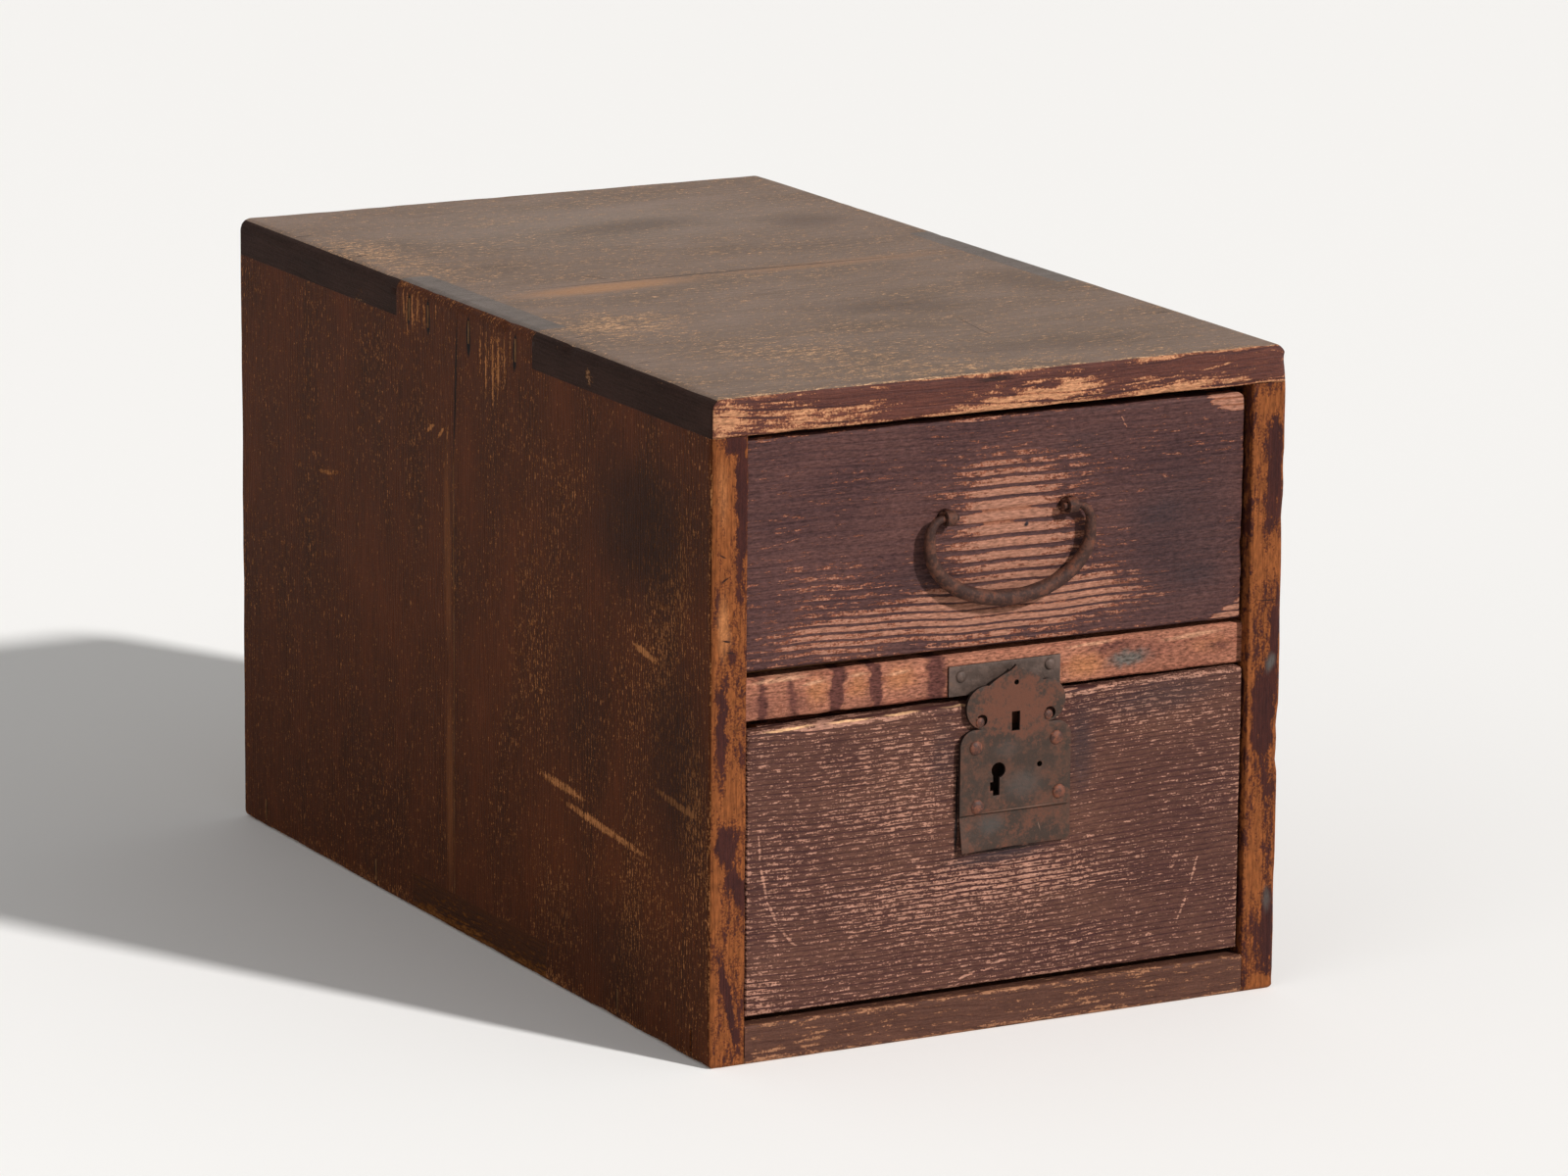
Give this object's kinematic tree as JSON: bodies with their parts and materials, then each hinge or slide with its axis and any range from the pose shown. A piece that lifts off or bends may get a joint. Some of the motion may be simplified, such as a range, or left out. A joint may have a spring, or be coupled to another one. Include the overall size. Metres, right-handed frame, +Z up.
{
  "type": "small tansu chest",
  "caption": "Low, deep tabletop chest with an upper drawer on an iron bail handle and a taller lower drawer with an iron plate lock, in a finger-jointed wooden case.",
  "frame": {"origin": "middle of the footprint, on the surface that the chest stands on", "axes": "+Z up, -Y towards the drawers' fronts, +X to the right when facing them"},
  "size_m": [0.272, 0.4645, 0.28],
  "materials": {
    "worn_lacquer_top": "worn dark lacquer over cedar, gone grey",
    "stained_side": "dark brown stain and thin lacquer, rubbed orange at edges",
    "lacquered_front": "dark lacquer worn through to the grain",
    "stained_bottom": "dark stain, worn",
    "bare_cedar": "bare planed cedar, browned with age",
    "whittled_peg": "whittled, bare",
    "forged_iron": "forged iron, dark brown patina",
    "rusted_sheet_iron": "thin sheet iron with even brown rust"
  },
  "bodies": {
    "case": {"top_front_board": "worn_lacquer_top", "top_rear_board": "worn_lacquer_top", "bottom_front_board": "stained_bottom", "bottom_rear_board": "stained_bottom", "left_side_front_board": "stained_side", "left_side_rear_board": "stained_side", "right_side_front_board": "stained_side", "right_side_rear_board": "stained_side", "back_lower_board": "bare_cedar", "back_upper_board": "bare_cedar", "divider_rail": "lacquered_front", "left_runner": "bare_cedar", "right_runner": "bare_cedar", "strike_plate": "rusted_sheet_iron", "strike_plate_nails": "forged_iron", "case_joint_nails": "forged_iron", "back_nails": "forged_iron", "runner_nails": "forged_iron"},
    "upper_drawer": {"upper_drawer_front": "lacquered_front", "upper_drawer_left_side": "bare_cedar", "upper_drawer_right_side": "bare_cedar", "upper_drawer_back": "bare_cedar", "upper_drawer_bottom": "bare_cedar", "upper_drawer_pegs": "whittled_peg", "handle_eye_left": "forged_iron", "handle_eye_right": "forged_iron"},
    "bail": {"bail_handle": "forged_iron"},
    "lower_drawer": {"lower_drawer_front": "lacquered_front", "lower_drawer_left_side": "bare_cedar", "lower_drawer_right_side": "bare_cedar", "lower_drawer_back": "bare_cedar", "lower_drawer_bottom": "bare_cedar", "lower_drawer_pegs": "whittled_peg", "lock_plate": "rusted_sheet_iron", "lock_apron": "rusted_sheet_iron", "lock_nails": "forged_iron", "lock_case": "rusted_sheet_iron", "lock_spring": "rusted_sheet_iron"},
    "bolt": {"lock_bolt": "rusted_sheet_iron"}
  },
  "joints": [
    {"name": "upper_drawer_slide", "type": "slide", "parent": "case", "child": "upper_drawer", "axis": [0, -1, 0], "range_m": [0, 0.37]},
    {"name": "lower_drawer_slide", "type": "slide", "parent": "case", "child": "lower_drawer", "axis": [0, -1, 0], "range_m": [0, 0.37]},
    {"name": "bail_swing", "type": "hinge", "parent": "upper_drawer", "child": "bail", "pos_m": [0.003, -0.2305, 0.2205], "axis": [-1, 0, 0], "range_deg": [-1, 180]},
    {"name": "lock_bolt_slide", "type": "slide", "parent": "lower_drawer", "child": "bolt", "axis": [0, 0, 1], "range_m": [0, 0.007]}
  ]
}
